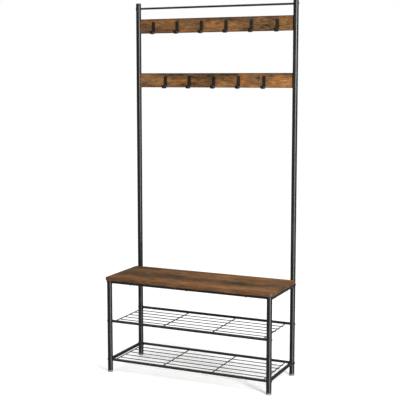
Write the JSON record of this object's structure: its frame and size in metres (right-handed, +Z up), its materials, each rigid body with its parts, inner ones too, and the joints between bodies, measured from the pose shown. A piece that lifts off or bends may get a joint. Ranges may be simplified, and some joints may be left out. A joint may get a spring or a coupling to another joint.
{
  "type": "hall tree with hooks",
  "caption": "Tall hall tree with a round-tube steel frame, a wooden bench seat, wire shoe shelves below it and boards of J-hooks between two uprights.",
  "frame": {"origin": "on the floor, under the centre of the whole object's bounding box", "axes": "+X to the sitter's left as seen from the front, that is to the viewer's right; +Y to the back, towards the hook boards; +Z up"},
  "size_m": [0.864, 0.347, 1.8],
  "materials": {
    "frame_steel": "black powder coat, low gloss with a soft highlight",
    "wire_steel": "black powder coat over drawn wire",
    "hook_steel": "black enamel, semi-gloss",
    "black_hardware": "black oxide, satin",
    "zinc_hardware": "bright zinc plate",
    "rustic_wood": "rustic brown wood-grain laminate on board, satin, with darker rounded edges",
    "foot_plastic": "light grey moulded plastic",
    "cap_plastic": "black moulded plastic"
  },
  "bodies": {
    "frame": {"board_brackets": "frame_steel", "bottom_shelf_cross_wire_1": "wire_steel", "bottom_shelf_cross_wire_2": "wire_steel", "bottom_shelf_cross_wire_3": "wire_steel", "bottom_shelf_cross_wire_4": "wire_steel", "bottom_shelf_front_rail": "frame_steel", "bottom_shelf_long_wires": "wire_steel", "bottom_shelf_rear_rail": "frame_steel", "bracket_screws": "zinc_hardware", "foot_inserts": "foot_plastic", "frame_bolts": "black_hardware", "front_leg_end_discs": "frame_steel", "front_seat_rail": "frame_steel", "hook_screws": "black_hardware", "left_back_leg": "frame_steel", "left_bottom_side_rail": "frame_steel", "left_front_leg": "frame_steel", "left_seat_side_rail": "frame_steel", "left_upright": "frame_steel", "left_upright_joiner": "frame_steel", "lower_hook_1": "hook_steel", "lower_hook_2": "hook_steel", "lower_hook_3": "hook_steel", "lower_hook_4": "hook_steel", "lower_hook_5": "hook_steel", "lower_hook_board": "rustic_wood", "middle_shelf_cross_wire_1": "wire_steel", "middle_shelf_cross_wire_2": "wire_steel", "middle_shelf_cross_wire_3": "wire_steel", "middle_shelf_cross_wire_4": "wire_steel", "middle_shelf_front_rail": "frame_steel", "middle_shelf_long_wires": "wire_steel", "middle_shelf_rear_rail": "frame_steel", "rail_end_nuts": "zinc_hardware", "rear_seat_rail": "frame_steel", "right_back_leg": "frame_steel", "right_bottom_side_rail": "frame_steel", "right_front_leg": "frame_steel", "right_seat_side_rail": "frame_steel", "right_upright": "frame_steel", "right_upright_joiner": "frame_steel", "seat_board": "rustic_wood", "seat_screws": "zinc_hardware", "top_rail": "frame_steel", "top_rail_bolts": "black_hardware", "top_rail_end_nuts": "zinc_hardware", "upper_hook_1": "hook_steel", "upper_hook_2": "hook_steel", "upper_hook_3": "hook_steel", "upper_hook_4": "hook_steel", "upper_hook_5": "hook_steel", "upper_hook_6": "hook_steel", "upper_hook_board": "rustic_wood", "upright_caps": "cap_plastic"},
    "left_back_foot": {"left_back_levelling_foot": "foot_plastic"},
    "left_front_foot": {"left_front_levelling_foot": "foot_plastic"},
    "right_back_foot": {"right_back_levelling_foot": "foot_plastic"},
    "right_front_foot": {"right_front_levelling_foot": "foot_plastic"}
  },
  "joints": [
    {"name": "left_back_foot_height", "type": "slide", "parent": "frame", "child": "left_back_foot", "axis": [0, 0, -1], "range_m": [0, 0.01]},
    {"name": "left_front_foot_height", "type": "slide", "parent": "frame", "child": "left_front_foot", "axis": [0, 0, -1], "range_m": [0, 0.01]},
    {"name": "right_back_foot_height", "type": "slide", "parent": "frame", "child": "right_back_foot", "axis": [0, 0, -1], "range_m": [0, 0.01]},
    {"name": "right_front_foot_height", "type": "slide", "parent": "frame", "child": "right_front_foot", "axis": [0, 0, -1], "range_m": [0, 0.01]}
  ]
}
